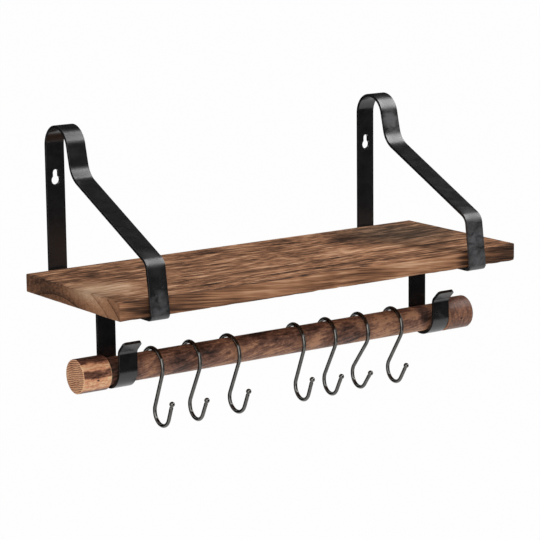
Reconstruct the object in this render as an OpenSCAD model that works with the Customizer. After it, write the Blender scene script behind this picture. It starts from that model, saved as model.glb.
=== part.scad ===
// Wall shelf: a scorched softwood board held by two brackets, each bent from one flat bar, with a
// loose wooden rod lying in the brackets' cradles and S-hooks hanging on the rod.
// The origin is on the wall, midway between the two keyholes. The front is -Y and up is +Z.

/* [Board] */
// Length of the board along the wall
board_length = 472; // [430:1:700]
// Depth of the board from its back edge to its front edge
board_depth = 172; // [150:1:220]
// Thickness of the board
board_thickness = 18; // [14:0.5:24]
// Rounding of the board's long edges
board_edge_radius = 1.5; // [0.5:0.25:4]
// Rounding of the board's corners seen from above
board_corner_radius = 2; // [0.5:0.25:8]
// Distance of the board's middle to the right of the brackets' middle
board_offset = 7; // [-12:0.5:12]
// Gap between the wall legs and the back edge of the board
board_back_gap = 6; // [5.5:0.25:12]
// Gap between the board's top front edge and the front legs
board_front_gap = 1.7; // [1.5:0.1:6]

/* [Bracket] */
// Width of the flat bar
strap_width = 20; // [15:0.5:30]
// Thickness of the flat bar
strap_thickness = 3; // [2:0.25:4]
// Distance from the end of a centred board to the middle of each bracket
bracket_inset = 47; // [35:1:80]
// Height of the top of the U bend above the underside of the board
bracket_height = 160.6; // [140:0.2:220]
// Outside width of the U bend, from the wall forwards
top_bend_width = 44.4; // [34:0.2:54]
// Lean of the leg below the U bend, away from the wall
upper_leg_lean = 13.7; // [8:0.1:20]
// Distance of the upper kink below the top of the U bend
upper_kink_drop = 46.6; // [40:0.2:60]
// Inside radius of the upper kink
upper_kink_radius = 22; // [6:0.5:26]
// Height of the lower kink above the underside of the board
lower_kink_height = 50.6; // [38:0.2:60]
// Inside radius of the lower kink
lower_kink_radius = 10.5; // [4:0.5:16]
// Lean of the front leg, away from the wall on its way down
front_leg_lean = 8.1; // [2:0.1:12]
// Inside radius of the bend under the board's front edge
front_bend_radius = 3; // [2:0.25:3.5]
// Inside radius of the bend at the foot of the wall leg
foot_bend_radius = 5; // [3:0.25:5.5]
// Length of the lip that turns back under the board
lip_length = 30; // [24:1:45]
// Radius of the bar's rounded end corners
strap_end_radius = 3; // [1:0.25:6]

/* [Keyhole] */
// Distance of the keyhole's round hole below the top of the U bend
keyhole_drop = 56; // [45:0.5:70]
// Diameter of the round hole that passes a screw head
keyhole_diameter = 9.2; // [7:0.1:11]
// Width of the slot that takes the screw's shank
keyhole_slot_width = 6; // [4:0.1:6.6]
// Height of the slot's upper centre above the round hole's centre
keyhole_rise = 7.5; // [5:0.1:12]

/* [Rod cradle] */
// Distance from the wall to the rear face of the drop leg
drop_leg_setback = 88; // [70:1:110]
// Inside radius of the bend from under the board into the drop leg
drop_bend_radius = 4; // [2:0.25:8]
// Room across the cradle beyond the rod's diameter
cradle_play = 9; // [2:0.5:12]
// Straight height of the cradle's front above its round part
cradle_front_height = 17.5; // [8:0.5:24]
// Outward angle of the flared tip
flare_angle = 45; // [20:1:60]
// Length of the flared tip
flare_length = 14; // [10:0.5:20]
// Inside radius of the bend into the flared tip
flare_bend_radius = 5; // [2:0.5:8]

/* [Towel rod] */
// Diameter of the rod
rod_diameter = 26.5; // [18:0.5:32]
// Height of the underside of the board above the rod's axis
rod_drop = 64; // [55:1:90]
// Diameter of the thicker ends
cap_diameter = 33.5; // [30:0.5:42]
// Length of each thicker end
cap_length = 31.5; // [24:0.5:45]
// Depth of the socket that takes the rod
cap_socket_depth = 22; // [12:0.5:22]
// Bevel on the outer edge of each thicker end
cap_face_bevel = 1; // [0.4:0.1:2]
// Bevel on the inner rim of each thicker end
cap_rim_bevel = 1.4; // [0.4:0.1:1.8]
// Gap between each thicker end and the bracket beside it
cap_side_gap = 5; // [2:0.5:10]
// Glue gap round the rod inside its ends
glue_gap = 0.1; // [0.05:0.05:0.3]

/* [S-hooks] */
// Thickness of the hooks' wire
wire_diameter = 3.8; // [2.5:0.1:4.5]
// Room between the rod and the inside of a hook's upper bend, each side
hook_play = 2.2; // [1:0.1:4]
// Radius of the lower bend at the middle of the wire
hook_lower_radius = 12.6; // [9:0.2:18]
// Length of the straight stem between the two bends
hook_stem_length = 35; // [28:0.5:50]
// Turn of each bend
hook_turn = 181.4; // [170:0.2:190]
// Length of the straight tail after each bend
hook_tail_length = 17.6; // [10:0.2:24]
// Diameter of the ball on each end of the wire
hook_ball_diameter = 5.4; // [4.9:0.1:7]

/* [Screws] */
// Diameter of the board screws' shank
screw_diameter = 4; // [3:0.1:5]
// Length of the board screws under the head
screw_length = 15; // [12:0.5:16]
// Diameter of the screws' pan head
screw_head_diameter = 8; // [6:0.1:9]
// Height of the screws' pan head
screw_head_height = 2.6; // [1.8:0.1:4]
// Length of the screws' point
screw_point_length = 4; // [2:0.25:6]
// Radial clearance of the screws in the bar
screw_bar_clearance = 0.3; // [0.1:0.05:0.8]
// Radial clearance of the screws in the board
screw_board_clearance = 0.05; // [0.05:0.05:0.2]

/* [Hidden] */
$fn = 96;
// Gap under a loose piece at rest
rest_gap = 0.3;
// Overrun of every cut past the surface it leaves
overrun = 1;
// Largest turn between two points of a drawn bend, in degrees
bend_step = 4;
// How far a straight wire runs into the bend beside it, and how much thinner it is there
wire_lap = 0.2;
wire_seam = 0.01;
// Places of the hooks along the rod, as shares of the distance between the brackets
hook_place_shares = [-0.395, -0.28, -0.162, 0.048, 0.152, 0.26, 0.373];
// Forward lean of each hook's stem from plumb, and each hook's turn about plumb, in degrees
hook_leans = [22, 28.5, 24.5, 24, 31, 40, 34.5];
hook_yaws = [0.4, -2.1, 2.7, -3.2, -3.9, -4.1, -2.9];
hook_count = len(hook_place_shares);

half_strap = strap_thickness / 2;
bracket_spacing = board_length - 2 * bracket_inset;
// Height of the board's underside in the part's own frame
underside_z = keyhole_drop - bracket_height;
board_back_y = -strap_thickness - board_back_gap;
board_front_y = board_back_y - board_depth;

// Corners of the bar's mid-line, as [distance from the wall, height above the underside]
front_y = board_front_y - board_front_gap - half_strap / cos(front_leg_lean)
    - (board_thickness + half_strap) * tan(front_leg_lean);
lower_kink_y = front_y + (lower_kink_height + half_strap) * tan(front_leg_lean);
top_radius = top_bend_width / 2 - half_strap;
top_axis_y = -top_bend_width / 2;
top_axis_z = bracket_height - top_bend_width / 2;
top_front_y = top_axis_y - top_radius * tan((90 - upper_leg_lean) / 2);
upper_kink_z = bracket_height - upper_kink_drop;
upper_leg_run = (top_axis_z + top_radius * sin(upper_leg_lean) - upper_kink_z) / cos(upper_leg_lean);
upper_kink_y = top_axis_y - top_radius * cos(upper_leg_lean) - upper_leg_run * sin(upper_leg_lean);

rod_radius = rod_diameter / 2;
cradle_radius = (rod_diameter + cradle_play) / 2;
cradle_rear_y = -drop_leg_setback - half_strap;
cradle_front_y = cradle_rear_y - 2 * cradle_radius - strap_thickness;
cradle_bottom_z = -rod_drop - rod_radius - rest_gap - half_strap;
flare_z = cradle_bottom_z + half_strap + cradle_radius + cradle_front_height;
rod_y = (cradle_rear_y + cradle_front_y) / 2;
rod_z = underside_z - rod_drop;
rod_overall = bracket_spacing + strap_width + 2 * (cap_side_gap + cap_length);
rod_length = rod_overall - 2 * (cap_length - cap_socket_depth) - 2 * rest_gap;

// Each corner: distance from the wall, height above the underside, inside radius of its bend
strap_corners = [
    [front_y + lip_length, -half_strap, 0],
    [front_y, -half_strap, front_bend_radius],
    [lower_kink_y, lower_kink_height, lower_kink_radius],
    [upper_kink_y, upper_kink_z, upper_kink_radius],
    [top_front_y, bracket_height - half_strap, top_radius - half_strap],
    [-half_strap, bracket_height - half_strap, top_radius - half_strap],
    [-half_strap, -half_strap, foot_bend_radius],
    [cradle_rear_y, -half_strap, drop_bend_radius],
    [cradle_rear_y, cradle_bottom_z, cradle_radius],
    [cradle_front_y, cradle_bottom_z, cradle_radius],
    [cradle_front_y, flare_z, flare_bend_radius],
    [cradle_front_y - flare_length * sin(flare_angle), flare_z + flare_length * cos(flare_angle), 0]
];

// The hooks' upper bend lies on the rod
hook_upper_radius = rod_radius + hook_play + wire_diameter / 2;
hook_axis_z = rod_z + rod_radius + rest_gap + wire_diameter / 2 - hook_upper_radius;

// Places of the screws along the bar, as distances from the wall
run_screw_y = (board_back_y - drop_leg_setback) / 2;
lip_screw_y = front_y + lip_length / 2 + front_bend_radius;

// A corner's place without its radius
function place(corner) = [corner[0], corner[1]];
// Direction from one point to the next, and the same turned a quarter to the left
function heading(a, b) = (b - a) / norm(b - a);
function left_of(v) = [-v[1], v[0]];
function turn_between(u, v) = atan2(u[0] * v[1] - u[1] * v[0], u * v);

// Points of one face of the bar round the bend at corner b; side is 1 on the left, -1 on the right
function bend_points(a, b, c, inside_radius, side) =
    let (u = heading(a, b), v = heading(b, c))
    let (turn = turn_between(u, v), hand = sign(turn))
    let (mid_radius = inside_radius + half_strap)
    let (start = b - u * mid_radius * tan(abs(turn) / 2))
    let (centre = start + left_of(u) * hand * mid_radius)
    let (face_radius = mid_radius - side * hand * half_strap)
    let (steps = ceil(abs(turn) / bend_step))
    [for (i = [0 : steps])
        let (swing = turn * i / steps)
        centre - face_radius * hand * (left_of(u) * cos(swing) - u * sin(swing))];

// Points of one face of the whole bar, from its lip to its flared tip
function face_points(corners, side) =
    let (last = len(corners) - 1)
    let (first_way = heading(place(corners[0]), place(corners[1])))
    let (last_way = heading(place(corners[last - 1]), place(corners[last])))
    concat(
        [place(corners[0]) + left_of(first_way) * side * half_strap],
        [for (i = [1 : last - 1])
            each bend_points(place(corners[i - 1]), place(corners[i]), place(corners[i + 1]),
                             corners[i][2], side)],
        [place(corners[last]) + left_of(last_way) * side * half_strap]
    );

function reversed(list) = [for (i = [len(list) - 1 : -1 : 0]) list[i]];

// Everything outside the rounded corners of the bar's end, which points along local X
module end_corners() {
    for (flip = [0, 1])
        mirror([0, 0, flip])
            difference() {
                translate([-strap_end_radius, -strap_thickness, strap_width / 2 - strap_end_radius])
                    cube([strap_end_radius + overrun, 2 * strap_thickness, strap_end_radius + overrun]);
                translate([-strap_end_radius, 0, strap_width / 2 - strap_end_radius])
                    rotate([90, 0, 0])
                        cylinder(r = strap_end_radius, h = 3 * strap_thickness, center = true);
            }
}

// The rounded corners at the bar's end, which is reached from the corner before it
module rounded_end(before, end) {
    way = heading(place(before), place(end));
    translate([end[0], end[1], 0])
        rotate([0, 0, atan2(way[1], way[0])])
            end_corners();
}

// Round hole and slot through the wall leg, seen along the wall's normal
module keyhole() {
    rotate([90, 0, 0])
        linear_extrude(2 * strap_thickness + 2 * overrun, center = true) {
            circle(d = keyhole_diameter);
            translate([0, keyhole_rise])
                circle(d = keyhole_slot_width);
            translate([-keyhole_slot_width / 2, 0])
                square([keyhole_slot_width, keyhole_rise]);
        }
}

// One bracket, bent from a single flat bar, with the middle of its width at X = 0
module bracket() {
    color("#1d1d1f")
        difference() {
            translate([0, 0, underside_z])
                rotate([90, 0, 90])
                    difference() {
                        linear_extrude(strap_width, center = true)
                            polygon(concat(face_points(strap_corners, 1),
                                           reversed(face_points(strap_corners, -1))));
                        rounded_end(strap_corners[1], strap_corners[0]);
                        rounded_end(strap_corners[len(strap_corners) - 2],
                                    strap_corners[len(strap_corners) - 1]);
                    }
            keyhole();
            for (y = [run_screw_y, lip_screw_y])
                translate([0, y, underside_z])
                    cylinder(d = screw_diameter + 2 * screw_bar_clearance,
                             h = 2 * strap_thickness + 2 * overrun, center = true);
        }
}

// Section of the board across its length, with its long edges rounded
module board_section() {
    for (y = [board_back_y - board_edge_radius, board_front_y + board_edge_radius])
        for (z = [board_edge_radius, board_thickness - board_edge_radius])
            translate([y, z])
                circle(r = board_edge_radius);
    translate([board_front_y + board_edge_radius, 0])
        square([board_depth - 2 * board_edge_radius, board_thickness]);
    translate([board_front_y, board_edge_radius])
        square([board_depth, board_thickness - 2 * board_edge_radius]);
}

// Outline of the board seen from above, with its corners rounded
module board_plan() {
    for (x = [-1, 1] * (board_length / 2 - board_corner_radius))
        for (y = [board_back_y - board_corner_radius, board_front_y + board_corner_radius])
            translate([x, y])
                circle(r = board_corner_radius);
    translate([board_corner_radius - board_length / 2, board_front_y])
        square([board_length - 2 * board_corner_radius, board_depth]);
    translate([-board_length / 2, board_front_y + board_corner_radius])
        square([board_length, board_depth - 2 * board_corner_radius]);
}

module shelf_board() {
    color("#8a6147")
        difference() {
            translate([board_offset, 0, underside_z])
                intersection() {
                    rotate([90, 0, 90])
                        linear_extrude(board_length, center = true)
                            board_section();
                    linear_extrude(board_thickness)
                        board_plan();
                }
            at_screws()
                screw_hole();
        }
}

// Repeats its children at the four board screws, at the underside of the bar and pointing up
module at_screws() {
    for (x = [-1, 1] * bracket_spacing / 2)
        for (y = [run_screw_y, lip_screw_y])
            translate([x, y, underside_z - strap_thickness])
                children();
}

// Blind hole in the board, with room for the screw's point
module screw_hole() {
    grow = screw_board_clearance;
    cylinder(d = screw_diameter + 2 * grow, h = screw_length - screw_point_length + grow);
    translate([0, 0, screw_length - screw_point_length + grow])
        cylinder(d1 = screw_diameter + 2 * grow, d2 = 0, h = screw_point_length + grow);
}

// Pan head wood screw with a cross recess, its head below and its point above
module board_screw() {
    recess_width = screw_head_diameter / 8;
    recess_length = screw_head_diameter / 2;
    recess_depth = screw_head_height / 2;
    difference() {
        rotate_extrude()
            polygon([
                [0, -screw_head_height],
                [screw_head_diameter / 4, -screw_head_height],
                [screw_head_diameter * 3 / 8, -screw_head_height * 5 / 6],
                [screw_head_diameter / 2, -screw_head_height / 2],
                [screw_head_diameter / 2, 0],
                [screw_diameter / 2, 0],
                [screw_diameter / 2, screw_length - screw_point_length],
                [0, screw_length]
            ]);
        for (angle = [0, 90])
            rotate([0, 0, angle])
                translate([-recess_length / 2, -recess_width / 2, -screw_head_height - overrun])
                    cube([recess_length, recess_width, recess_depth + overrun]);
    }
}

module board_screws() {
    color("#2a2a2c")
        at_screws()
            board_screw();
}

module towel_rod() {
    color("#6f4434")
        translate([0, rod_y, rod_z])
            rotate([0, 90, 0])
                cylinder(d = rod_diameter, h = rod_length, center = true);
}

// Turned rod end with a blind socket, its socket open towards +Z and its face at Z = 0
module rod_cap() {
    cap_radius = cap_diameter / 2;
    difference() {
        rotate_extrude()
            polygon([
                [0, 0],
                [cap_radius - cap_face_bevel, 0],
                [cap_radius, cap_face_bevel],
                [cap_radius, cap_length - cap_rim_bevel],
                [cap_radius - cap_rim_bevel, cap_length],
                [0, cap_length]
            ]);
        translate([0, 0, cap_length - cap_socket_depth])
            cylinder(r = rod_radius + glue_gap, h = cap_socket_depth + overrun);
    }
}

module rod_cap_left() {
    color("#a9764a")
        translate([-rod_overall / 2, rod_y, rod_z])
            rotate([0, 90, 0])
                rod_cap();
}

module rod_cap_right() {
    color("#7d4e38")
        translate([rod_overall / 2, rod_y, rod_z])
            rotate([0, -90, 0])
                rod_cap();
}

// Straight wire along local X from the end of a bend, with its seam inside the bend
module wire_run(length) {
    translate([-wire_lap, 0, 0])
        rotate([0, 90, 0])
            cylinder(r = wire_diameter / 2 - wire_seam, h = length + 2 * wire_lap);
}

// Tail with a ball on its end, along local X
module wire_tail() {
    translate([-wire_lap, 0, 0])
        rotate([0, 90, 0])
            cylinder(r = wire_diameter / 2 - wire_seam, h = hook_tail_length + wire_lap);
    translate([hook_tail_length, 0, 0])
        sphere(d = hook_ball_diameter);
}

// Half of the hook from the middle of its bend's axis: the bend and the tail that follows it
module hook_half(radius) {
    rotate_extrude(angle = hook_turn)
        translate([radius, 0])
            circle(d = wire_diameter);
    rotate([0, 0, hook_turn])
        translate([radius, 0, 0])
            rotate([0, 0, 90])
                wire_tail();
}

// The whole hook lying flat, its upper bend round the origin and its stem along local -Y
module hook_wire() {
    hook_half(hook_upper_radius);
    translate([hook_upper_radius, 0, 0])
        rotate([0, 0, -90])
            wire_run(hook_stem_length);
    translate([hook_upper_radius + hook_lower_radius, -hook_stem_length, 0])
        rotate([0, 0, 180])
            hook_half(hook_lower_radius);
}

module s_hook(index) {
    color("#333436")
        translate([hook_place_shares[index] * bracket_spacing, rod_y, hook_axis_z])
            rotate([90, 0, hook_yaws[index] - 90])
                rotate([0, 0, -hook_leans[index]])
                    hook_wire();
}

shelf_board();
translate([-bracket_spacing / 2, 0, 0]) bracket();  // bracket_left
translate([bracket_spacing / 2, 0, 0]) bracket();  // bracket_right
board_screws();
towel_rod();
rod_cap_left();
rod_cap_right();
for (i = [1 : hook_count]) s_hook(i - 1);
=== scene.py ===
import math

import bmesh
import bpy
from mathutils import Matrix, Vector, noise


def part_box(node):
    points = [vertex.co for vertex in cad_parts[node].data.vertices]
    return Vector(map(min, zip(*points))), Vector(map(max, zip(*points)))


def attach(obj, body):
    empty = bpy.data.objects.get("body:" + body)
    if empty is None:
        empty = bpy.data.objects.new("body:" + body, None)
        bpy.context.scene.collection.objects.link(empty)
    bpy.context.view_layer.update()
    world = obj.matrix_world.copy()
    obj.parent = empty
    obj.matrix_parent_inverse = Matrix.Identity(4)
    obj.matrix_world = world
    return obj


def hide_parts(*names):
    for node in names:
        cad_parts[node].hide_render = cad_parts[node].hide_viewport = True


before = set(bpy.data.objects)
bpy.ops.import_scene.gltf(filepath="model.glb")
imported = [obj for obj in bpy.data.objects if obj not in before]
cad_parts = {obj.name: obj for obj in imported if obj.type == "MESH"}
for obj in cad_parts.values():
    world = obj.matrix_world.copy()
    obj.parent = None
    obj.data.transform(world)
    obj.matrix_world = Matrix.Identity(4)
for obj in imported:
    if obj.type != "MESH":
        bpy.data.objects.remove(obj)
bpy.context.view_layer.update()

# The camera is a long lens from the front left and slightly above, where the photograph was
# taken from. Its roll is the small tilt of the photograph.
MM = 0.001
CAMERA_AZIMUTH = math.radians(-35.09)
CAMERA_ELEVATION = math.radians(11.32)
CAMERA_ROLL = math.radians(-0.614)
CAMERA_DISTANCE = 2.3643
CAMERA_TARGET = Vector((9.82, -79, -101.67)) * MM
LENS_MM = 157.86
SENSOR_MM = 36
CLIP_NEAR = 0.1
CLIP_FAR = 60


def add_object(name, data):
    """A new object with that mesh, lamp or camera, in the scene."""
    made = bpy.data.objects.new(name, data)
    bpy.context.scene.collection.objects.link(made)
    return made


def standing(point, x_way, y_way, z_way):
    """The matrix that puts an object at that point, with its axes pointing those three ways."""
    return Matrix.Translation(point) @ Matrix((x_way, y_way, z_way)).transposed().to_4x4()


scene = bpy.context.scene
camera = add_object("camera", bpy.data.cameras.new("camera"))
scene.camera = camera
camera.data.sensor_width = SENSOR_MM
camera.data.lens = LENS_MM
camera.data.clip_start = CLIP_NEAR
camera.data.clip_end = CLIP_FAR
back = Vector((math.sin(CAMERA_AZIMUTH) * math.cos(CAMERA_ELEVATION),
               -math.cos(CAMERA_AZIMUTH) * math.cos(CAMERA_ELEVATION),
               math.sin(CAMERA_ELEVATION)))
level_right = Vector((math.cos(CAMERA_AZIMUTH), math.sin(CAMERA_AZIMUTH), 0))
level_up = back.cross(level_right)
right = level_right * math.cos(CAMERA_ROLL) + level_up * math.sin(CAMERA_ROLL)
up = level_up * math.cos(CAMERA_ROLL) - level_right * math.sin(CAMERA_ROLL)
camera.matrix_world = standing(CAMERA_TARGET + back * CAMERA_DISTANCE, right, up, back)

# A white studio floor lies far below the shelf, as it hangs on a wall. One strip softbox stands
# to the upper right, a broad one fills from the front left, and the room gives a plain soft
# level.
FLOOR_Z = -1.5
FLOOR_SIZE = 60
FLOOR_COLOUR = "#eeeeee"
WHITE = "#ffffff"
WHITE_SHARE = 0.98
ROOM_LEVEL = 0.44
PLUMB = Vector((0, 0, 1))
LAMP_DISTANCE = 1.9
# Each softbox: direction from the shelf, direction of its first side, size, watts
SOFTBOXES = {
    "key_softbox": (Vector((0.564, -0.306, 0.767)), Vector((0.0, 0.929, 0.371)), (1.45, 0.5), 24),
    "fill_softbox": (Vector((-0.62, -0.74, 0.25)), PLUMB, (1.6, 1.6), 12),
}


def linear(hex_colour):
    """An sRGB hex colour as linear red, green, blue and full alpha."""
    parts = [int(hex_colour[i:i + 2], 16) / 255 for i in (1, 3, 5)]
    return [p / 12.92 if p <= 0.04045 else ((p + 0.055) / 1.055) ** 2.4 for p in parts] + [1]


def add_node(tree, kind, inputs=None, stops=(), **settings):
    """Adds a node with its settings, its inputs' values or links, and a ramp's colour stops."""
    new = tree.nodes.new(kind)
    for name, value in settings.items():
        setattr(new, name, value)
    for key, value in (inputs or {}).items():
        if isinstance(value, bpy.types.NodeSocket):
            tree.links.new(value, new.inputs[key])
        else:
            new.inputs[key].default_value = value
    if stops:
        ramp = new.color_ramp.elements
        ramp.remove(ramp[1])
        ramp[0].position, ramp[0].color = stops[0]
        for position, colour in stops[1:]:
            ramp.new(position).color = colour
    return new


def seen_directly(tree):
    """1 for rays from the camera, from glossy and from clear surfaces, and 0 for all others."""
    ray = add_node(tree, "ShaderNodeLightPath")
    seen = add_node(tree, "ShaderNodeMath", {0: ray.outputs["Is Camera Ray"],
                                             1: ray.outputs["Is Glossy Ray"]}, operation="MAXIMUM")
    return add_node(tree, "ShaderNodeMath", {0: seen.outputs[0],
                                             1: ray.outputs["Is Transmission Ray"]},
                    operation="MAXIMUM").outputs[0]


def empty_tree(owner):
    """The node tree of a material or a world, with nothing in it yet."""
    owner.use_nodes = True
    owner.node_tree.nodes.clear()
    return owner.node_tree


def new_material(name):
    """An empty material and its node tree."""
    made = bpy.data.materials.new(name)
    return made, empty_tree(made)


scene.view_settings.view_transform = "Standard"
world = bpy.data.worlds.new("white studio")
scene.world = world
tree = empty_tree(world)
room = add_node(tree, "ShaderNodeBackground", {"Color": linear(WHITE), "Strength": ROOM_LEVEL})
white = add_node(tree, "ShaderNodeBackground", {"Color": linear(WHITE), "Strength": 1})
both = add_node(tree, "ShaderNodeMixShader",
                {0: seen_directly(tree), 1: room.outputs[0], 2: white.outputs[0]})
add_node(tree, "ShaderNodeOutputWorld", {"Surface": both.outputs[0]})

# Matt white floor paint: no gloss at all. It looks plain white to the camera and in
# reflections, apart from a small share that keeps the object's shadow.
floor_paint, tree = new_material("matt white floor paint")
matt = add_node(tree, "ShaderNodeBsdfDiffuse", {"Color": linear(FLOOR_COLOUR)})
white = add_node(tree, "ShaderNodeEmission", {"Color": linear(WHITE), "Strength": 1})
share = add_node(tree, "ShaderNodeMath", {0: seen_directly(tree), 1: WHITE_SHARE},
                 operation="MULTIPLY")
both = add_node(tree, "ShaderNodeMixShader",
                {0: share.outputs[0], 1: matt.outputs[0], 2: white.outputs[0]})
add_node(tree, "ShaderNodeOutputMaterial", {"Surface": both.outputs[0]})

half = FLOOR_SIZE / 2
floor_mesh = bpy.data.meshes.new("studio_floor")
floor_mesh.from_pydata([(-half, -half, FLOOR_Z), (half, -half, FLOOR_Z),
                        (half, half, FLOOR_Z), (-half, half, FLOOR_Z)], [], [(0, 1, 2, 3)])
floor_mesh.materials.append(floor_paint)
add_object("studio_floor", floor_mesh)

for name, (towards, along, size, watts) in SOFTBOXES.items():
    lamp = bpy.data.lights.new(name, "AREA")
    lamp.shape = "RECTANGLE"
    lamp.size, lamp.size_y = size
    lamp.energy = watts
    away = towards.normalized()
    first = (along - away * along.dot(away)).normalized()
    add_object(name, lamp).matrix_world = standing(CAMERA_TARGET + away * LAMP_DISTANCE,
                                                   first, away.cross(first), away)

# Five black flag cards stand round the shelf, as is usual for glossy black steel. Only glossy
# surfaces see them, and they take no light from the object.
CARD_COLOUR = "#262626"
# Each card: direction from the shelf, distance, width, height
BLACK_CARDS = {
    "front_card": (Vector((0.45, -0.89, 0.02)), 2.6, 3.0, 2.8),
    "rear_card": (Vector((0.54, 0.68, 0.50)), 2.6, 3.2, 4.2),
    "left_card": (Vector((-0.52, 0.84, -0.06)), 2.6, 2.2, 2.8),
    "low_right_card": (Vector((0.87, 0.12, -0.44)), 2.4, 1.5, 2.0),
    "low_left_card": (Vector((-0.86, 0.38, -0.36)), 2.4, 2.0, 2.0),
}

# Matt black card: a dark grey without gloss, which the steel mirrors in place of the white room
card_paint, tree = new_material("black flag card")
matt = add_node(tree, "ShaderNodeBsdfDiffuse", {"Color": linear(CARD_COLOUR)})
add_node(tree, "ShaderNodeOutputMaterial", {"Surface": matt.outputs[0]})

for name, (towards, distance, width, height) in BLACK_CARDS.items():
    away = towards.normalized()
    level = PLUMB.cross(away).normalized()
    rise = away.cross(level)
    middle = CAMERA_TARGET + away * distance
    card_mesh = bpy.data.meshes.new(name)
    card_mesh.from_pydata([middle + level * width * x / 2 + rise * height * z / 2
                           for x, z in ((-1, -1), (1, -1), (1, 1), (-1, 1))],
                          [], [(0, 1, 2, 3)])
    card_mesh.materials.append(card_paint)
    card = add_object(name, card_mesh)
    card.visible_camera = False
    card.visible_diffuse = False
    card.visible_transmission = False
    card.visible_shadow = False

# The board is one planed softwood board with eased edges. Its faces are scorched with a torch
# and brushed. It lies on the brackets' bars, held by a screw from below at each end of each bar.
BOARD_EDGE = 1.3 * MM
EDGE_TURNS = (0, 0.3, 0.6, 1)
BOARD_STEP_ALONG = 4 * MM
BOARD_STEP_ACROSS = 2 * MM
BRUSHING_DEPTH = 0.16 * MM
HOLLOW_SIZES = (50, 3.5, 3.5)
SWELL_SIZES = (120, 30, 30)
CHIP_DEPTH = 1.8 * MM
CHIP_REACH = 3 * MM
CHIP_LEVEL = -0.14
FLAKE_SIZES = (11, 20, 1)
PATCH_SIZES = (70, 1, 50)
TORN_FROM_X = 60 * MM
TORN_MORE = 0.2


def ruled(low, high, edge, step):
    """Places from low to high, close together in the rounded edges and a step apart between."""
    inner = max(1, round((high - low - 2 * edge) / step))
    return ([low + edge * turn for turn in EDGE_TURNS[:-1]]
            + [low + edge + (high - low - 2 * edge) * i / inner for i in range(inner + 1)]
            + [high - edge * turn for turn in EDGE_TURNS[-2::-1]])


def ripple(place, sizes, shift=(0, 0, 0)):
    """Smooth noise round 0 at that place, whose waves have those sizes in millimetres."""
    return noise.noise(Vector([at / (size * MM) + more
                               for at, size, more in zip(place, sizes, shift)]))


def brushed(x, y, z):
    """Depth that the brush took out here: long shallow hollows between the harder rings."""
    hollow = ripple((x, y, z), HOLLOW_SIZES)
    swell = ripple((x, y, z), SWELL_SIZES, (0, 0, 7))
    return BRUSHING_DEPTH * (0.5 + 0.32 * hollow + 0.18 * swell)


def chipped(x, y, z, low, high):
    """Depth lost from the long front edges, where the scorched wood has splintered away."""
    off = abs(y - low[1]) + min(abs(z - low[2]), abs(z - high[2]))
    close = max(0, 1 - off / CHIP_REACH)
    if not close:
        return 0
    flake = ripple((x, z, 0), FLAKE_SIZES, (0, 0, 3.7))
    patch = ripple((x, 0, z), PATCH_SIZES, (0, 5.1, 0))
    torn = TORN_MORE if x > TORN_FROM_X else 0
    return CHIP_DEPTH * close * max(0, flake + CHIP_LEVEL + 0.35 * patch + torn)


def shaded_mesh(name, shape):
    """The finished shape as a smoothly shaded mesh."""
    mesh = bpy.data.meshes.new(name)
    shape.to_mesh(mesh)
    shape.free()
    mesh.shade_smooth()
    return mesh


def board_mesh(name, low, high):
    """A rounded box on a fine grid, with its brushed faces and splintered front edges."""
    lines = [ruled(low[a], high[a], BOARD_EDGE, step)
             for a, step in enumerate((BOARD_STEP_ALONG, BOARD_STEP_ACROSS, BOARD_STEP_ACROSS))]
    last = [len(line) - 1 for line in lines]
    shape = bmesh.new()
    corners = {}

    def corner(*index):
        if index not in corners:
            p = Vector([lines[a][index[a]] for a in range(3)])
            core = Vector([min(max(p[a], low[a] + BOARD_EDGE), high[a] - BOARD_EDGE)
                           for a in range(3)])
            out = (p - core).normalized()
            p = core + out * BOARD_EDGE
            p -= out * (brushed(*p) + chipped(*p, low, high))
            corners[index] = shape.verts.new(p)
        return corners[index]

    for axis in range(3):
        u, v = [a for a in range(3) if a != axis]
        for side in (0, last[axis]):
            for i in range(last[u]):
                for j in range(last[v]):
                    face = []
                    for du, dv in ((0, 0), (1, 0), (1, 1), (0, 1)):
                        index = [side] * 3
                        index[u], index[v] = i + du, j + dv
                        face.append(corner(*index))
                    shape.faces.new(face)
    bmesh.ops.recalc_face_normals(shape, faces=shape.faces[:])
    return shaded_mesh(name, shape)


def cells(*sizes):
    """Scale of a pattern whose cells have those sizes in millimetres along X, Y and Z."""
    return [1 / (size * MM) for size in sizes]


def added_up(tree, base, *parts):
    """The base value plus each part times its weight."""
    total = base
    for value, weight in parts:
        total = add_node(tree, "ShaderNodeMath", {0: value, 1: weight, 2: total},
                         operation="MULTIPLY_ADD").outputs[0]
    return total


# Share of a spot's reach that has its full strength
SPOT_CORE = 0.15


def near(tree, place, middle, reach):
    """1 at that place in millimetres, falling softly to 0 at its reach along X, Y and Z."""
    scaled = add_node(tree, "ShaderNodeVectorMath",
                      {0: place, 1: cells(*reach),
                       2: [-at / size for at, size in zip(middle, reach)]},
                      operation="MULTIPLY_ADD")
    away = add_node(tree, "ShaderNodeVectorMath", {0: scaled.outputs[0]}, operation="LENGTH")
    return add_node(tree, "ShaderNodeMapRange",
                    {"Value": away.outputs["Value"], "From Min": SPOT_CORE, "From Max": 1,
                     "To Min": 1, "To Max": 0}, interpolation_type="SMOOTHSTEP").outputs[0]


def spots(tree, place, marks):
    """A list of marks as parts to add up; each mark gives its middle, reach and strength."""
    return [(near(tree, place, middle, reach), strength) for middle, reach, strength in marks]


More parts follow.
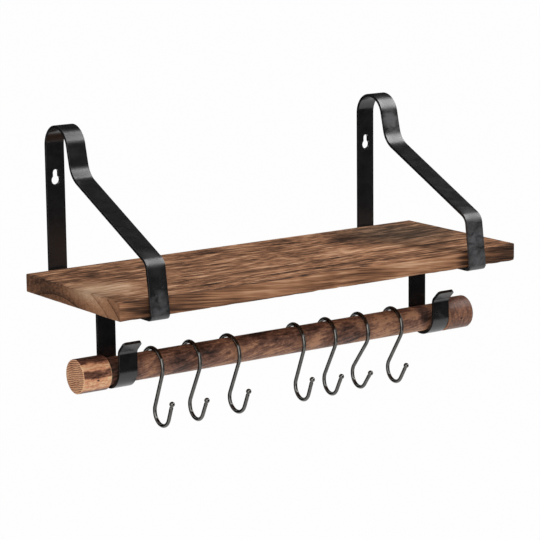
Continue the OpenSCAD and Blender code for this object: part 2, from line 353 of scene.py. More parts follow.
PITH_Y, PITH_Z = -69, -149.6
RING_FLATTENING = 0.65
RING_WIDTH = 11.4
RING_START = 0.51
GRAIN_SLOPE = math.radians(4.5)
PALE_END_X = (-225, -90)
DRIFT = (0, 12 * MM, 8 * MM)
WAVES = (0, 1.2 * MM, 0.8 * MM)
BURN_LEVEL = 0.47
FIGURE_LEVEL = -1.55
ASHEN_REAR = ((186, -62, -87), (90, 90, 14))
ASHEN_FRONT = ((-210, -116, -87), (50, 50, 14))
# Where the torch stayed longer (above 0) or the wood stayed pale, and painted shade beside the
# left front leg: middle, reach, strength
TORCH_MARKS_AND_SHADE = (
    ((-176, -60, -87), (44, 62, 14), 0.20), ((-206, -118, -87), (60, 50, 14), -0.3),
    ((-20, -28, -87), (92, 18, 12), 0.17), ((56, -30, -87), (36, 22, 12), 0.22),
    ((120, -68, -87), (30, 66, 12), 0.24), ((192, -58, -87), (84, 84, 14), 0.30),
    ((86, -112, -87), (52, 36, 12), -0.16), ((-112, -172, -87), (52, 22, 8), 0.13),
    ((-20, -170, -87), (34, 20, 8), 0.08), ((172, -142, -87), (34, 12, 8), 0.16),
    # The large dark mark on the front face round the left front leg is scorching and painted shade
    # of that leg
    ((-206, -184, -88), (30, 8, 8), 0.10), ((-190, -186, -96), (80, 10, 34), 0.42),
    ((10, -184, -95), (58, 6, 13), 0.03), ((176, -184, -96), (13, 9, 26), 0.30),
    ((120, -186, -97), (92, 9, 32), -0.38), ((236, -186, -97), (58, 12, 40), 0.62),
    ((-231, -40, -90), (10, 74, 22), 0.22), ((-231, -146, -96), (8, 44, 40), -0.2),
    ((0, -182, -86), (2000, 2.8, 2.8), 0.5), ((142, -181.5, -88.2), (90, 3.0, 1.4), 0.45),
    ((-230, -95, -86), (2.4, 400, 2.4), 0.24), ((0, -182, -105), (2000, 2, 2), 0.16),
    ((-230, -182, -96), (2, 2, 40), -0.30),
)

# Softwood such as pine or paulownia, torched, brushed and lightly oiled. The rings give arcs on
# the ends and a few long lines on the faces. The torch left soft dark bands across the grain,
# short dark dashes along it, and charred edges. The dashes and fibres are drawn about twice as
# coarse as real ones, so that they still show from the camera.
scorched_wood, tree = new_material("torched and brushed softwood")
place = add_node(tree, "ShaderNodeTexCoord").outputs["Object"]
# The grain drifts slowly by some millimetres, apart from the pale left end, and has short waves
drift = add_node(tree, "ShaderNodeTexNoise", {"Vector": add_node(
    tree, "ShaderNodeMapping", {"Vector": place, "Scale": cells(170, 60, 60)}).outputs[0],
    "Scale": 1, "Detail": 1})
drift = add_node(tree, "ShaderNodeVectorMath", {0: drift.outputs["Color"], 1: (0.5, 0.5, 0.5)},
                 operation="SUBTRACT")
inwards = add_node(tree, "ShaderNodeMapRange",
                   {"Value": add_node(tree, "ShaderNodeSeparateXYZ", {0: place}).outputs["X"],
                    "From Min": PALE_END_X[0] * MM, "From Max": PALE_END_X[1] * MM})
drift = add_node(tree, "ShaderNodeVectorMath",
                 {0: drift.outputs[0], "Scale": inwards.outputs[0]}, operation="SCALE")
moved = add_node(tree, "ShaderNodeVectorMath", {0: drift.outputs[0], 1: DRIFT, 2: place},
                 operation="MULTIPLY_ADD")
waves = add_node(tree, "ShaderNodeTexNoise", {"Vector": add_node(
    tree, "ShaderNodeMapping", {"Vector": place, "Scale": cells(40, 14, 14)}).outputs[0],
    "Scale": 1, "Detail": 2})
waves = add_node(tree, "ShaderNodeVectorMath", {0: waves.outputs["Color"], 1: (0.5, 0.5, 0.5)},
                 operation="SUBTRACT")
moved = add_node(tree, "ShaderNodeVectorMath",
                 {0: waves.outputs[0], 1: WAVES, 2: moved.outputs[0]}, operation="MULTIPLY_ADD")
# Rings are counted by the distance from the pith, which lay below the board. Each ends in dark
# latewood with a sharp line, and every fourth one is faint.
log = add_node(tree, "ShaderNodeMapping",
               {"Vector": moved.outputs[0],
                "Location": (0, -PITH_Y * MM * RING_FLATTENING, -PITH_Z * MM),
                "Scale": (0, RING_FLATTENING, 1)})
radius = add_node(tree, "ShaderNodeVectorMath", {0: log.outputs[0]}, operation="LENGTH")
years = add_node(tree, "ShaderNodeMath", {0: radius.outputs["Value"], 1: 1 / (RING_WIDTH * MM),
                                          2: -RING_START}, operation="MULTIPLY_ADD")
year = add_node(tree, "ShaderNodeMath", {0: years.outputs[0]}, operation="FRACT")
count = add_node(tree, "ShaderNodeMath", {0: years.outputs[0]}, operation="FLOOR")
fourth = add_node(tree, "ShaderNodeMath", {0: count.outputs[0], 1: 4}, operation="MODULO")
fourth = add_node(tree, "ShaderNodeMath", {0: fourth.outputs[0], 1: 1, 2: 0.1},
                  operation="COMPARE")
vigour = add_node(tree, "ShaderNodeMapRange", {"Value": fourth.outputs[0], "To Min": 1,
                                               "To Max": 0.25})
latewood = add_node(tree, "ShaderNodeMapRange", {"Value": year.outputs[0], "From Min": 0,
                                                 "From Max": 0.55, "To Min": 1, "To Max": 0},
                    interpolation_type="SMOOTHERSTEP")
ring_line = add_node(tree, "ShaderNodeMapRange", {"Value": year.outputs[0], "From Min": 0.02,
                                                  "From Max": 0.13, "To Min": 1, "To Max": 0},
                     interpolation_type="SMOOTHSTEP")
ring = added_up(tree, 0, (latewood.outputs[0], 0.16), (ring_line.outputs[0], 0.22))
ring = add_node(tree, "ShaderNodeMath", {0: ring, 1: vigour.outputs[0]}, operation="MULTIPLY")
# The figure is long streaks, short dashes and fine fibres, all at a small slope to the board
grain = add_node(tree, "ShaderNodeMapping",
                 {"Vector": moved.outputs[0], "Rotation": (0, -GRAIN_SLOPE, GRAIN_SLOPE / 4)})
streaks = add_node(tree, "ShaderNodeTexNoise", {"Vector": add_node(
    tree, "ShaderNodeMapping", {"Vector": grain.outputs[0],
                                "Scale": cells(240, 5.5, 4)}).outputs[0],
    "Scale": 1, "Detail": 5, "Roughness": 0.66})
dashes = add_node(tree, "ShaderNodeTexNoise", {"Vector": add_node(
    tree, "ShaderNodeMapping", {"Vector": grain.outputs[0],
                                "Scale": cells(80, 3.8, 2.4)}).outputs[0],
    "Scale": 1, "Detail": 3, "Roughness": 0.6})
fibres = add_node(tree, "ShaderNodeTexNoise", {"Vector": add_node(
    tree, "ShaderNodeMapping", {"Vector": grain.outputs[0],
                                "Scale": cells(40, 2.2, 1.1)}).outputs[0],
    "Scale": 1, "Detail": 2})
figure = added_up(tree, FIGURE_LEVEL, (streaks.outputs[0], 1.25), (dashes.outputs[0], 0.8),
                  (fibres.outputs[0], 1.05))
# The torch passed across the board, and bites most where the dashes are
passes = add_node(tree, "ShaderNodeTexNoise", {"Vector": add_node(
    tree, "ShaderNodeMapping", {"Vector": place, "Scale": cells(40, 90, 30)}).outputs[0],
    "Scale": 1, "Detail": 2, "Distortion": 0.4})
marks = added_up(tree, -0.25, (passes.outputs[0], 0.5), *spots(tree, place, TORCH_MARKS_AND_SHADE))
bite = add_node(tree, "ShaderNodeMath", {0: dashes.outputs[0], 1: 2.0}, operation="MULTIPLY")
bitten = add_node(tree, "ShaderNodeMath", {0: marks, 1: bite.outputs[0]}, operation="MULTIPLY")
# End grain chars evenly, so the figure fades there and only the rings stay
normal = add_node(tree, "ShaderNodeSeparateXYZ",
                  {0: add_node(tree, "ShaderNodeNewGeometry").outputs["Normal"]})
endwise = add_node(tree, "ShaderNodeMath", {0: normal.outputs["X"]}, operation="ABSOLUTE")
contrast = add_node(tree, "ShaderNodeMapRange", {"Value": endwise.outputs[0], "From Min": 0.5,
                                                 "From Max": 0.9, "To Min": 1, "To Max": 0.25})
# The rings fade towards the pale left end, and the long front edge shows them least
frontal = add_node(tree, "ShaderNodeMath", {0: normal.outputs["Y"]}, operation="ABSOLUTE")
shown = added_up(tree, 0.25, (inwards.outputs[0], 0.75), (endwise.outputs[0], 0.4),
                 (frontal.outputs[0], -0.55))
shown = add_node(tree, "ShaderNodeMath", {0: shown, 1: 0.1}, operation="MAXIMUM")
# The figure is calmer in the two ashen places and on the front edge
rear = near(tree, place, *ASHEN_REAR)
front = near(tree, place, *ASHEN_FRONT)
calm = added_up(tree, 1, (rear, -0.4), (front, -0.5), (frontal.outputs[0], -0.3))
calm = add_node(tree, "ShaderNodeMath", {0: contrast.outputs[0], 1: calm}, operation="MULTIPLY")
burn = added_up(tree, BURN_LEVEL, (bitten.outputs[0], 0.8), (figure, calm.outputs[0]),
                (ring.outputs[0], shown.outputs[0]), (frontal.outputs[0], -0.05))
colour = add_node(tree, "ShaderNodeValToRGB", {0: burn},
                  stops=[(0.12, linear("#d4a988")), (0.34, linear("#ac7d5c")),
                         (0.52, linear("#855c42")), (0.7, linear("#543a2b")),
                         (0.92, linear("#2a1c15"))])
# Ash rubbed into the right rear corner and the pale left front greys them a little
ashen = added_up(tree, 0, (rear, 0.9), (front, 0.7))
colour = add_node(tree, "ShaderNodeHueSaturation",
                  {"Color": colour.outputs[0], "Hue": 0.513, "Saturation": 0.84, "Fac": ashen})
bumps = add_node(tree, "ShaderNodeBump", {"Strength": 0.5, "Distance": 0.5 * MM,
                                          "Height": burn}, invert=True)
shader = add_node(tree, "ShaderNodeBsdfPrincipled",
                  {"Base Color": colour.outputs[0], "Roughness": 0.62, "IOR": 1.5,
                   "Specular IOR Level": 0.12, "Normal": bumps.outputs[0]})
add_node(tree, "ShaderNodeOutputMaterial", {"Surface": shader.outputs[0]})

board = add_object("scorched_board", board_mesh("scorched_board", *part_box("shelf_board")))
board.data.materials.append(scorched_wood)
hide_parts("shelf_board")
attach(board, "shelf")

# Each bracket is one 20 by 3 mm mild steel flat bar with eased edges, bent cold round formers,
# with a keyhole in its wall leg. They are powder coated after bending, in satin black.
EASED_EDGE = 0.5 * MM
EASED_STEPS = 3
SHARP_ANGLE = math.radians(50)
FLAT_ANGLE = math.radians(0.5)
WELD_DISTANCE = 0.001 * MM
# Where hands rubbed the coat greyer, and where a paler grey is painted reflection: middle, reach,
# strength
HANDLED_AND_SHEEN_SPOTS = (
    ((189, -187, -92), (26, 20, 84), 0.45), ((-189, -187, -102), (18, 14, 46), 0.31),
    # These two are painted reflection: paler grey on the middle of the right cradle and on the
    # right leaning leg
    ((189, -122, -168), (20, 16, 30), 0.16), ((189, -46, 29), (18, 16, 20), 0.42),
)
# Where its highlights are broader: the same three
DULL_BENDS = (
    ((189, -177, -54), (16, 20, 20), 0.16), ((-189, -177, -54), (16, 20, 20), 0.18),
    ((189, -36, 49), (16, 18, 16), 0.14), ((189, -52, 6), (16, 16, 16), 0.14),
)

# Satin black powder coat: a fine orange peel, smeared by hands, and duller and greyer on the
# front legs where it was handled most. The paler grey on the right bracket's leaning leg and on
# the middle of its cradle is painted reflection. The grit is drawn about twice as coarse as real.
powder_coat, tree = new_material("satin black powder coat on steel")
place = add_node(tree, "ShaderNodeTexCoord").outputs["Object"]
grit = add_node(tree, "ShaderNodeTexNoise", {"Vector": add_node(
    tree, "ShaderNodeMapping", {"Vector": place, "Scale": cells(2, 2, 2)}).outputs[0],
    "Scale": 1, "Detail": 3})
smears = add_node(tree, "ShaderNodeTexNoise", {"Vector": add_node(
    tree, "ShaderNodeMapping", {"Vector": place, "Scale": cells(14, 9, 9)}).outputs[0],
    "Scale": 1, "Detail": 4, "Distortion": 0.8})
# The rubbed spots, and the spots of painted reflection
handled_and_sheen = added_up(tree, 0, *spots(tree, place, HANDLED_AND_SHEEN_SPOTS))
scuffs = added_up(tree, -1.6, (smears.outputs[0], 3.2), (grit.outputs[0], 1.4))
rubbed_and_sheen = added_up(tree, 0, (smears.outputs[0], 0.45), (handled_and_sheen, 0.75), (handled_and_sheen, scuffs))
gloss = add_node(tree, "ShaderNodeMapRange", {"Value": rubbed_and_sheen, "From Min": 0.1, "From Max": 0.9,
                                              "To Min": 0.19, "To Max": 0.42})
gloss = added_up(tree, gloss.outputs[0], *spots(tree, place, DULL_BENDS))
colour = add_node(tree, "ShaderNodeValToRGB", {0: rubbed_and_sheen},
                  stops=[(0.15, linear("#171718")), (0.4, linear("#202021")),
                         (0.95, linear("#505052"))])
bumps = add_node(tree, "ShaderNodeBump", {"Strength": 0.15, "Distance": 0.06 * MM,
                                          "Height": grit.outputs[0]})
shader = add_node(tree, "ShaderNodeBsdfPrincipled",
                  {"Base Color": colour.outputs[0], "Roughness": gloss, "IOR": 1.5,
                   "Specular IOR Level": 0.65, "Normal": bumps.outputs[0]})
add_node(tree, "ShaderNodeOutputMaterial", {"Surface": shader.outputs[0]})


def eased_copy(name, node, width):
    """The node's solid with its sharp edges eased, as a new piece."""
    shape = bmesh.new()
    shape.from_mesh(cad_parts[node].data)
    bmesh.ops.remove_doubles(shape, verts=shape.verts[:], dist=WELD_DISTANCE)
    bmesh.ops.dissolve_limit(shape, angle_limit=FLAT_ANGLE, verts=shape.verts[:],
                             edges=shape.edges[:])
    sharp = [e for e in shape.edges
             if len(e.link_faces) == 2 and e.calc_face_angle() > SHARP_ANGLE]
    bmesh.ops.bevel(shape, geom=sharp, offset=width, offset_type="OFFSET",
                    segments=EASED_STEPS, profile=0.5, affect="EDGES", clamp_overlap=True)
    mesh = shaded_mesh(name, shape)
    mesh.set_sharp_from_angle(angle=SHARP_ANGLE)
    piece = add_object(name, mesh)
    weights = piece.modifiers.new("even shading of the flats", "WEIGHTED_NORMAL")
    weights.keep_sharp = True
    return piece


for side in ("left", "right"):
    bar = eased_copy("bent_bar_" + side, "bracket_" + side, EASED_EDGE)
    bar.data.materials.clear()
    bar.data.materials.append(powder_coat)
    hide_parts("bracket_" + side)
    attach(bar, "shelf")

# Four steel pan head wood screws hold the board from below, plated in black zinc. They keep
# their CAD shape.

# Black zinc plating on steel: a thin dark metal sheen with uneven paler patches
black_zinc, tree = new_material("black zinc plated steel")
place = add_node(tree, "ShaderNodeTexCoord").outputs["Object"]
mottle = add_node(tree, "ShaderNodeTexNoise", {"Vector": add_node(
    tree, "ShaderNodeMapping", {"Vector": place, "Scale": cells(2, 2, 2)}).outputs[0],
    "Scale": 1, "Detail": 3})
colour = add_node(tree, "ShaderNodeValToRGB", {0: mottle.outputs[0]},
                  stops=[(0.35, linear("#2a2b2d")), (0.7, linear("#3d3e40"))])
shader = add_node(tree, "ShaderNodeBsdfPrincipled",
                  {"Base Color": colour.outputs[0], "Metallic": 1, "Roughness": 0.35})
add_node(tree, "ShaderNodeOutputMaterial", {"Surface": shader.outputs[0]})
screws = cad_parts["board_screws"]
screws.data.materials.clear()
screws.data.materials.append(black_zinc)

# The towel rod is turned softwood, stained and scorched in patches, and lies loose in both
# cradles. Its two ends are glued into the thicker rod ends.
ROD_SIDES = 96
ROD_STEP = 3 * MM
ROD_BRUSHING = 0.14 * MM
FLUTE_SIZES = (40, 4, 4)
RIM_ANGLE = math.radians(40)
ROD_GRAIN_SLANT = (0, 0.2, 0.1)
ROD_BURN_LEVEL = -1.02
# Where the torch stayed longer (above 0) or the wood stayed pale, and painted shade, shadow and
# light: middle, reach, strength
ROD_MARKS_AND_SHADING = (
    # The first mark is painted shade on the rod between its left end and the left cradle
    ((-201, -109, -169), (12, 90, 90), 0.20), ((-123, -122, -166), (28, 30, 26), 0.20),
    ((-91, -122, -160), (18, 22, 18), 0.18), ((-18, -120, -158), (44, 24, 14), 0.26),
    ((79, -122, -167), (26, 30, 26), 0.17), ((40, -122, -168), (22, 30, 26), -0.04),
    ((120, -122, -168), (22, 30, 26), -0.14), ((-46, -122, -168), (14, 22, 18), -0.05),
    # The second on this line is painted shadow of the right cradle, on the rod just left of it
    ((-162, -122, -168), (14, 30, 26), -0.12), ((176, -118, -160), (13, 28, 18), 0.38),
    # The band along the whole underside is painted light from below
    ((150, -109, -172), (110, 90, 90), -0.16), ((0, -120, -182), (2000, 14, 7), -0.16),
)


def skin(shape, rings, sides):
    """Faces from each ring of points to the next, where a ring of one point is a pole."""
    for a, b in zip(rings, rings[1:]):
        for i in range(sides):
            j = (i + 1) % sides
            if len(a) == 1:
                shape.faces.new((a[0], b[j], b[i]))
            elif len(b) == 1:
                shape.faces.new((a[i], a[j], b[0]))
            else:
                shape.faces.new((a[i], a[j], b[j], b[i]))


def turned(name, profile, sides, worn):
    """A piece turned about the X axis: profile lists (x, radius), worn is the depth lost."""
    shape = bmesh.new()
    rings = []
    for x, radius in profile:
        if radius == 0:
            rings.append([shape.verts.new((x, 0, 0))])
            continue
        ring = []
        for i in range(sides):
            turn = 2 * math.pi * i / sides
            out = Vector((0, math.cos(turn), math.sin(turn)))
            place = Vector((x, 0, 0)) + out * radius
            ring.append(shape.verts.new(Vector((x, 0, 0)) + out * (radius - worn(place))))
        rings.append(ring)
    skin(shape, rings, sides)
    bmesh.ops.recalc_face_normals(shape, faces=shape.faces[:])
    mesh = shaded_mesh(name, shape)
    mesh.set_sharp_from_angle(angle=RIM_ANGLE)
    return mesh


def rod_wear(place):
    """Depth lost from the rod by brushing, in long shallow flutes."""
    return ROD_BRUSHING * (0.5 + 0.5 * ripple(place, FLUTE_SIZES))


# Softwood, stained and scorched: reddish brown, with darker patches where the torch stayed,
# short dark grain lines and specks. The grain is drawn about twice as coarse as real, to show.
stained_wood, tree = new_material("stained and scorched round wood")
place = add_node(tree, "ShaderNodeTexCoord").outputs["Object"]
slant = add_node(tree, "ShaderNodeMapping", {"Vector": place, "Rotation": ROD_GRAIN_SLANT})
patches = add_node(tree, "ShaderNodeTexNoise", {"Vector": add_node(
    tree, "ShaderNodeMapping", {"Vector": slant.outputs[0],
                                "Scale": cells(26, 15, 15)}).outputs[0],
    "Scale": 1, "Detail": 3, "Distortion": 0.5})
grain = add_node(tree, "ShaderNodeTexNoise", {"Vector": add_node(
    tree, "ShaderNodeMapping", {"Vector": slant.outputs[0],
                                "Scale": cells(44, 2.4, 2.4)}).outputs[0],
    "Scale": 1, "Detail": 4, "Roughness": 0.7})
specks = add_node(tree, "ShaderNodeTexNoise", {"Vector": add_node(
    tree, "ShaderNodeMapping", {"Vector": place, "Scale": cells(3.6, 2.4, 2.4)}).outputs[0],
    "Scale": 1, "Detail": 4, "Roughness": 0.65})
# The marks also add painted shade, painted shadow and a painted light band along the underside
burn = added_up(tree, ROD_BURN_LEVEL, (patches.outputs[0], 1.05), (grain.outputs[0], 1.3),
                (specks.outputs[0], 0.7), *spots(tree, place, ROD_MARKS_AND_SHADING))
colour = add_node(tree, "ShaderNodeValToRGB", {0: burn},
                  stops=[(0.26, linear("#c38f6d")), (0.46, linear("#926752")),
                         (0.66, linear("#6a483b")), (0.9, linear("#30201a"))])
bumps = add_node(tree, "ShaderNodeBump", {"Strength": 0.5, "Distance": 0.4 * MM,
                                          "Height": burn}, invert=True)
shader = add_node(tree, "ShaderNodeBsdfPrincipled",
                  {"Base Color": colour.outputs[0], "Roughness": 0.5, "IOR": 1.5,
                   "Specular IOR Level": 0.4, "Normal": bumps.outputs[0]})
add_node(tree, "ShaderNodeOutputMaterial", {"Surface": shader.outputs[0]})

low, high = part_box("towel_rod")
rod_axis = Vector((0, (low.y + high.y) / 2, (low.z + high.z) / 2))
rod_radius = (high.z - low.z) / 2
steps = round((high.x - low.x) / ROD_STEP)
profile = ([(low.x, 0)]
           + [(low.x + (high.x - low.x) * i / steps, rod_radius) for i in range(steps + 1)]
           + [(high.x, 0)])
rod = add_object("scorched_rod", turned("scorched_rod", profile, ROD_SIDES, rod_wear))
rod.data.transform(Matrix.Translation(rod_axis))
rod.data.materials.append(stained_wood)
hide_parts("towel_rod")
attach(rod, "rod")

# The rod ends are two thicker turned pieces with a blind socket, glued on the rod. The left one
# is pale with scorched bands along it, and the right one is stained like the rod.
CAP_FACE_BEVEL = 1 * MM
CAP_RIM_BEVEL = 1.4 * MM
CAP_SOCKET_DEPTH = 22 * MM
CAP_BRUSHING = 0.12 * MM
CAP_FLUTE_SIZES = (12, 3, 3)
SOCKET_GAP = 0.1 * MM
BEVEL_STEPS = 4
SIDE_STEPS = 16
FACE_RINGS = 30
CAP_RADIUS = 16.75
END_RING = 1.8
END_RING_SLOPE = 0.16
END_RING_WOBBLE = 4 * MM
SIDE_BURN_LEVEL = -0.62
FACE_BURN_LEVEL = -0.46
KNOT_Y, KNOT_Z = -125.2, -171.3
KNOT_REACH = (2, 4, 1.3)
RIM_REACH = (2, 120, 120)


def cap_wear(place):
    """Depth lost from a rod end by brushing."""
    return CAP_BRUSHING * (0.5 + 0.5 * ripple(place, CAP_FLUTE_SIZES, (0, 0, 20)))


def cap_profile(length, radius, bore):
    """From the middle of the outer face to the bottom of the socket."""
    points = [(0, (radius - CAP_FACE_BEVEL) * i / FACE_RINGS) for i in range(FACE_RINGS)]
    for i in range(BEVEL_STEPS + 1):
        turn = math.pi / 2 * i / BEVEL_STEPS
        points.append((CAP_FACE_BEVEL * (1 - math.cos(turn)),
                       radius - CAP_FACE_BEVEL * (1 - math.sin(turn))))
    for i in range(1, SIDE_STEPS + 1):
        points.append((CAP_FACE_BEVEL
                       + (length - CAP_FACE_BEVEL - CAP_RIM_BEVEL) * i / SIDE_STEPS, radius))
    points.append((length, radius - CAP_RIM_BEVEL))
    points.append((length, bore))
    points.append((length - CAP_SOCKET_DEPTH, bore))
    points.append((length - CAP_SOCKET_DEPTH, 0))
    return points


# Turned end wood, scorched and oiled: end grain lines on the face, and on the side burnt bands,
# fibres and specks that are drawn about twice as coarse as real. Both turned edges and the side's
# rim end are paler, as painted highlight.
def cap_wood(rim, knot, name, light, middle, dark, char, bands, turning):
    """That wood for one rod end, with its rim and its small knot at those places."""
    made, tree = new_material(name)
    place = add_node(tree, "ShaderNodeTexCoord").outputs["Object"]
    wobble = add_node(tree, "ShaderNodeTexNoise", {"Vector": add_node(
        tree, "ShaderNodeMapping", {"Vector": place, "Scale": cells(16, 16, 16)}).outputs[0],
        "Scale": 1, "Detail": 2})
    at = add_node(tree, "ShaderNodeSeparateXYZ", {0: place})
    height = added_up(tree, -rod_axis.z - END_RING_WOBBLE / 2, (at.outputs["Z"], 1),
                      (wobble.outputs[0], END_RING_WOBBLE))
    lines = added_up(tree, -END_RING_SLOPE * rod_axis.y, (at.outputs["Y"], END_RING_SLOPE),
                     (height, 1))
    lines = add_node(tree, "ShaderNodeMath", {0: lines, 1: END_RING * MM}, operation="DIVIDE")
    lines = add_node(tree, "ShaderNodeMath", {0: lines.outputs[0], 1: 0.5}, operation="PINGPONG")
    across = add_node(tree, "ShaderNodeMapRange", {"Value": height, "From Min": -CAP_RADIUS * MM,
                                                   "From Max": CAP_RADIUS * MM})
    bands = add_node(tree, "ShaderNodeValToRGB", {0: across.outputs[0]},
                     stops=[(share, [value] * 3 + [1]) for share, value in bands])
    fibres = add_node(tree, "ShaderNodeTexNoise", {"Vector": add_node(
        tree, "ShaderNodeMapping", {"Vector": place, "Scale": cells(*turning)}).outputs[0],
        "Scale": 1, "Detail": 4, "Roughness": 0.6})
    specks = add_node(tree, "ShaderNodeTexNoise", {"Vector": add_node(
        tree, "ShaderNodeMapping", {"Vector": place, "Scale": cells(3.4, 2.2, 2.2)}).outputs[0],
        "Scale": 1, "Detail": 4, "Roughness": 0.65})
    normal = add_node(tree, "ShaderNodeSeparateXYZ",
                      {0: add_node(tree, "ShaderNodeNewGeometry").outputs["True Normal"]})
    endwise = add_node(tree, "ShaderNodeMath", {0: normal.outputs["X"]}, operation="ABSOLUTE")
    facing = add_node(tree, "ShaderNodeMapRange", {"Value": endwise.outputs[0], "From Min": 0.2,
                                                   "From Max": 0.95})
    # A thin pale ring where the side meets the rim: painted highlight
    rubbed_and_sheen = near(tree, place, (rim, -109, -169), RIM_REACH)
    side = added_up(tree, SIDE_BURN_LEVEL, (bands.outputs[0], 1), (fibres.outputs[0], 1.0),
                    (specks.outputs[0], 0.75), (rubbed_and_sheen, -0.6),
                    (near(tree, place, knot, KNOT_REACH), 0.7))
    face = added_up(tree, FACE_BURN_LEVEL, (lines.outputs[0], 1.3), (wobble.outputs[0], 0.5),
                    (specks.outputs[0], 0.6))
    burn = add_node(tree, "ShaderNodeMix", {0: facing.outputs[0], 2: side, 3: face},
                    data_type="FLOAT")
    # Both turned edges are paler, as painted highlight: they face halfway between the side and the
    # end
    worn = add_node(tree, "ShaderNodeMath", {0: facing.outputs[0], 1: 0.5, 2: 0.42},
                    operation="COMPARE")
    burn = added_up(tree, burn.outputs[0], (worn.outputs[0], -0.22))
    colour = add_node(tree, "ShaderNodeValToRGB", {0: burn},
                      stops=[(0.1, linear(light)), (0.35, linear(middle)), (0.65, linear(dark)),
                             (0.95, linear(char))])
    bumps = add_node(tree, "ShaderNodeBump", {"Strength": 0.4, "Distance": 0.4 * MM,
                                              "Height": burn}, invert=True)
    shader = add_node(tree, "ShaderNodeBsdfPrincipled",
                      {"Base Color": colour.outputs[0], "Roughness": 0.36, "IOR": 1.5,
                       "Specular IOR Level": 0.2, "Normal": bumps.outputs[0]})
    add_node(tree, "ShaderNodeOutputMaterial", {"Surface": shader.outputs[0]})
    return made


# Each end's material: name, four colours from light to char, how burnt each share of its height
# is from the bottom up (on the left end its two palest bands are painted highlight), and the
# fibres' size along X, Y and Z in millimetres
LOOKS = {
    "left": ("pale turned wood with scorched bands", "#ffd6a6", "#e8a27a", "#825746", "#33211b",
             # The two palest bands, low and high on the side, are painted highlight
             [(0, 0.6), (0.12, 0.45), (0.16, 0.1), (0.2, -0.12), (0.25, 0), (0.49, 0.04),
              (0.54, 0.46), (0.69, 0.5), (0.74, -0.12), (0.84, -0.02), (0.89, 0.28), (0.95, 0.5),
              (1, 0.6)], (12, 1.8, 1.8)),
    "right": ("stained turned wood", "#b48264", "#7d5848", "#533a30", "#2b1d18",
              [(0, -0.15), (0.15, 0.08), (0.5, 0.1), (0.9, 0.25)], (1.8, 9, 9)),
}
for side, direction in (("left", 1), ("right", -1)):
    node = "rod_cap_" + side
    low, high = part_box(node)
    outer, rim = (low.x, high.x) if direction > 0 else (high.x, low.x)
    knot = ((outer + rim) / 2 / MM, KNOT_Y, KNOT_Z)
    points = cap_profile(high.x - low.x, (high.z - low.z) / 2, rod_radius + SOCKET_GAP)
    cap = add_object("rod_end_" + side, turned("rod_end_" + side, points, ROD_SIDES, cap_wear))
    cap.data.transform(Matrix.Translation((outer, rod_axis.y, rod_axis.z))
                       @ Matrix.Rotation(0 if direction > 0 else math.pi, 4, "Z"))
    cap.data.materials.append(cap_wood(rim / MM, knot, *LOOKS[side]))
    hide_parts(node)
    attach(cap, "rod")

# There are seven S-hooks, each bent from one 3.8 mm steel wire with a ball and a neck upset on
# both ends, and plated in a glossy gunmetal black. Each hangs on the rod, leaning forwards.
WIRE_RADIUS = 1.9 * MM
BALL_RADIUS = 2.7 * MM
NECK_RADIUS = 1.55 * MM
TAPER_START = 0.9 * MM
TAPER_END = 0.5 * MM
NECK_INTO_BALL = 0.86
NECK_ANGLE = math.radians(38)
UPPER_RADIUS = 17.35 * MM
LOWER_RADIUS = 12.6 * MM
STEM = 35 * MM
TAIL = 17.6 * MM
TAIL_RULED = 0.8
BEND = math.radians(181.4)
WIRE_SIDES = 20
BALL_STEPS = 10
BEND_STEPS = 44
STEM_STEPS = 8
TAIL_STEPS = 4
POLE_WELD = 0.01 * MM
HOOK_Z = -170.5 * MM
HOOK_X = (-149.31, -105.84, -61.236, 18.144, 57.456, 98.28, 140.994)
HOOK_LEANS = (22, 28.5, 24.5, 24, 31, 40, 34.5)
HOOK_YAWS = (0.4, -2.1, 2.7, -3.2, -3.9, -4.1, -2.9)

# Gunmetal plating on drawn steel wire: a warm dark grey metal with sharp, slightly cloudy
# highlights
gunmetal, tree = new_material("gunmetal black plated steel wire")
place = add_node(tree, "ShaderNodeTexCoord").outputs["Object"]
cloud = add_node(tree, "ShaderNodeTexNoise", {"Vector": add_node(
    tree, "ShaderNodeMapping", {"Vector": place, "Scale": cells(6, 6, 6)}).outputs[0],
    "Scale": 1, "Detail": 2})
colour = add_node(tree, "ShaderNodeValToRGB", {0: cloud.outputs[0]},
                  stops=[(0.35, linear("#5a5957")), (0.7, linear("#6a6965"))])
gloss = add_node(tree, "ShaderNodeMapRange", {"Value": cloud.outputs[0], "From Min": 0.3,
                                              "From Max": 0.7, "To Min": 0.15, "To Max": 0.19})
shader = add_node(tree, "ShaderNodeBsdfPrincipled",
                  {"Base Color": colour.outputs[0], "Metallic": 1,
                   "Roughness": gloss.outputs[0]})
add_node(tree, "ShaderNodeOutputMaterial", {"Surface": shader.outputs[0]})


def tail_end():
    """Distances past the end of the tail and the radii there: wire, neck, ball, pole."""
    shape = [(-BALL_RADIUS - TAPER_START, WIRE_RADIUS), (-BALL_RADIUS - TAPER_END, NECK_RADIUS),
             (-BALL_RADIUS * NECK_INTO_BALL, NECK_RADIUS)]
    for i in range(BALL_STEPS + 1):
        turn = NECK_ANGLE + (math.pi - NECK_ANGLE) * i / BALL_STEPS
        shape.append((-BALL_RADIUS * math.cos(turn), BALL_RADIUS * math.sin(turn)))
    return shape


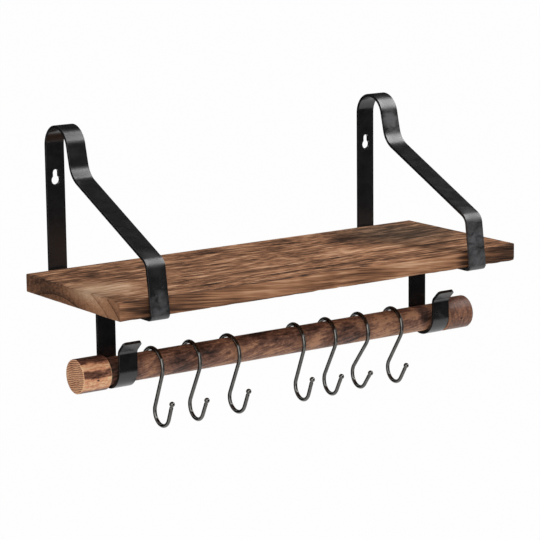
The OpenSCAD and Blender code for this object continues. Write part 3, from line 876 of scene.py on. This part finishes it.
def hook_line():
    """The hook's line in its own plane from ball to ball, as (x, y, heading, radius)."""
    line = []
    start = Vector((math.cos(BEND), math.sin(BEND))) * UPPER_RADIUS
    way = Vector((-math.sin(BEND), math.cos(BEND)))
    for past, thick in reversed(tail_end()):
        p = start + way * (TAIL + past)
        line.append((p.x, p.y, BEND - math.pi / 2, thick))
    for i in range(TAIL_STEPS - 1, -1, -1):
        p = start + way * TAIL * TAIL_RULED * i / TAIL_STEPS
        line.append((p.x, p.y, BEND - math.pi / 2, WIRE_RADIUS))
    for i in range(1, BEND_STEPS + 1):
        turn = BEND * (1 - i / BEND_STEPS)
        line.append((UPPER_RADIUS * math.cos(turn), UPPER_RADIUS * math.sin(turn),
                     turn - math.pi / 2, WIRE_RADIUS))
    for i in range(1, STEM_STEPS):
        line.append((UPPER_RADIUS, -STEM * i / STEM_STEPS, -math.pi / 2, WIRE_RADIUS))
    for i in range(BEND_STEPS + 1):
        turn = math.pi + BEND * i / BEND_STEPS
        line.append((UPPER_RADIUS + LOWER_RADIUS * (1 + math.cos(turn)),
                     -STEM + LOWER_RADIUS * math.sin(turn), turn + math.pi / 2, WIRE_RADIUS))
    turn = math.pi + BEND
    start = Vector((UPPER_RADIUS + LOWER_RADIUS * (1 + math.cos(turn)),
                    -STEM + LOWER_RADIUS * math.sin(turn)))
    way = Vector((-math.sin(turn), math.cos(turn)))
    for i in range(1, TAIL_STEPS):
        p = start + way * TAIL * TAIL_RULED * i / TAIL_STEPS
        line.append((p.x, p.y, turn + math.pi / 2, WIRE_RADIUS))
    for past, thick in tail_end():
        p = start + way * (TAIL + past)
        line.append((p.x, p.y, turn + math.pi / 2, thick))
    return line


def hook_mesh(name, lean, yaw):
    """A round tube along the hook's line, leaned in its plane and turned about plumb."""
    shape = bmesh.new()
    rings = []
    for x, y, heading, thick in hook_line():
        ring = []
        for i in range(WIRE_SIDES):
            turn = 2 * math.pi * i / WIRE_SIDES
            off = thick * math.cos(turn)
            px = x - off * math.sin(heading)
            py = y + off * math.cos(heading)
            side = thick * math.sin(turn)
            p = px * math.cos(lean) + py * math.sin(lean)
            q = -px * math.sin(lean) + py * math.cos(lean)
            ring.append(shape.verts.new((p * math.sin(yaw) + side * math.cos(yaw),
                                         -p * math.cos(yaw) + side * math.sin(yaw), q)))
        rings.append(ring)
    skin(shape, rings, WIRE_SIDES)
    bmesh.ops.remove_doubles(shape, verts=shape.verts[:], dist=POLE_WELD)
    bmesh.ops.recalc_face_normals(shape, faces=shape.faces[:])
    return shaded_mesh(name, shape)


for number, (x, lean, yaw) in enumerate(zip(HOOK_X, HOOK_LEANS, HOOK_YAWS), 1):
    name = f"wire_hook_{number}"
    hook = add_object(name, hook_mesh(name, math.radians(lean), math.radians(yaw)))
    hook.data.transform(Matrix.Translation((x * MM, rod_axis.y, HOOK_Z)))
    hook.data.materials.append(gunmetal)
    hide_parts(f"s_hook_{number}")
    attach(hook, f"hook_{number}")
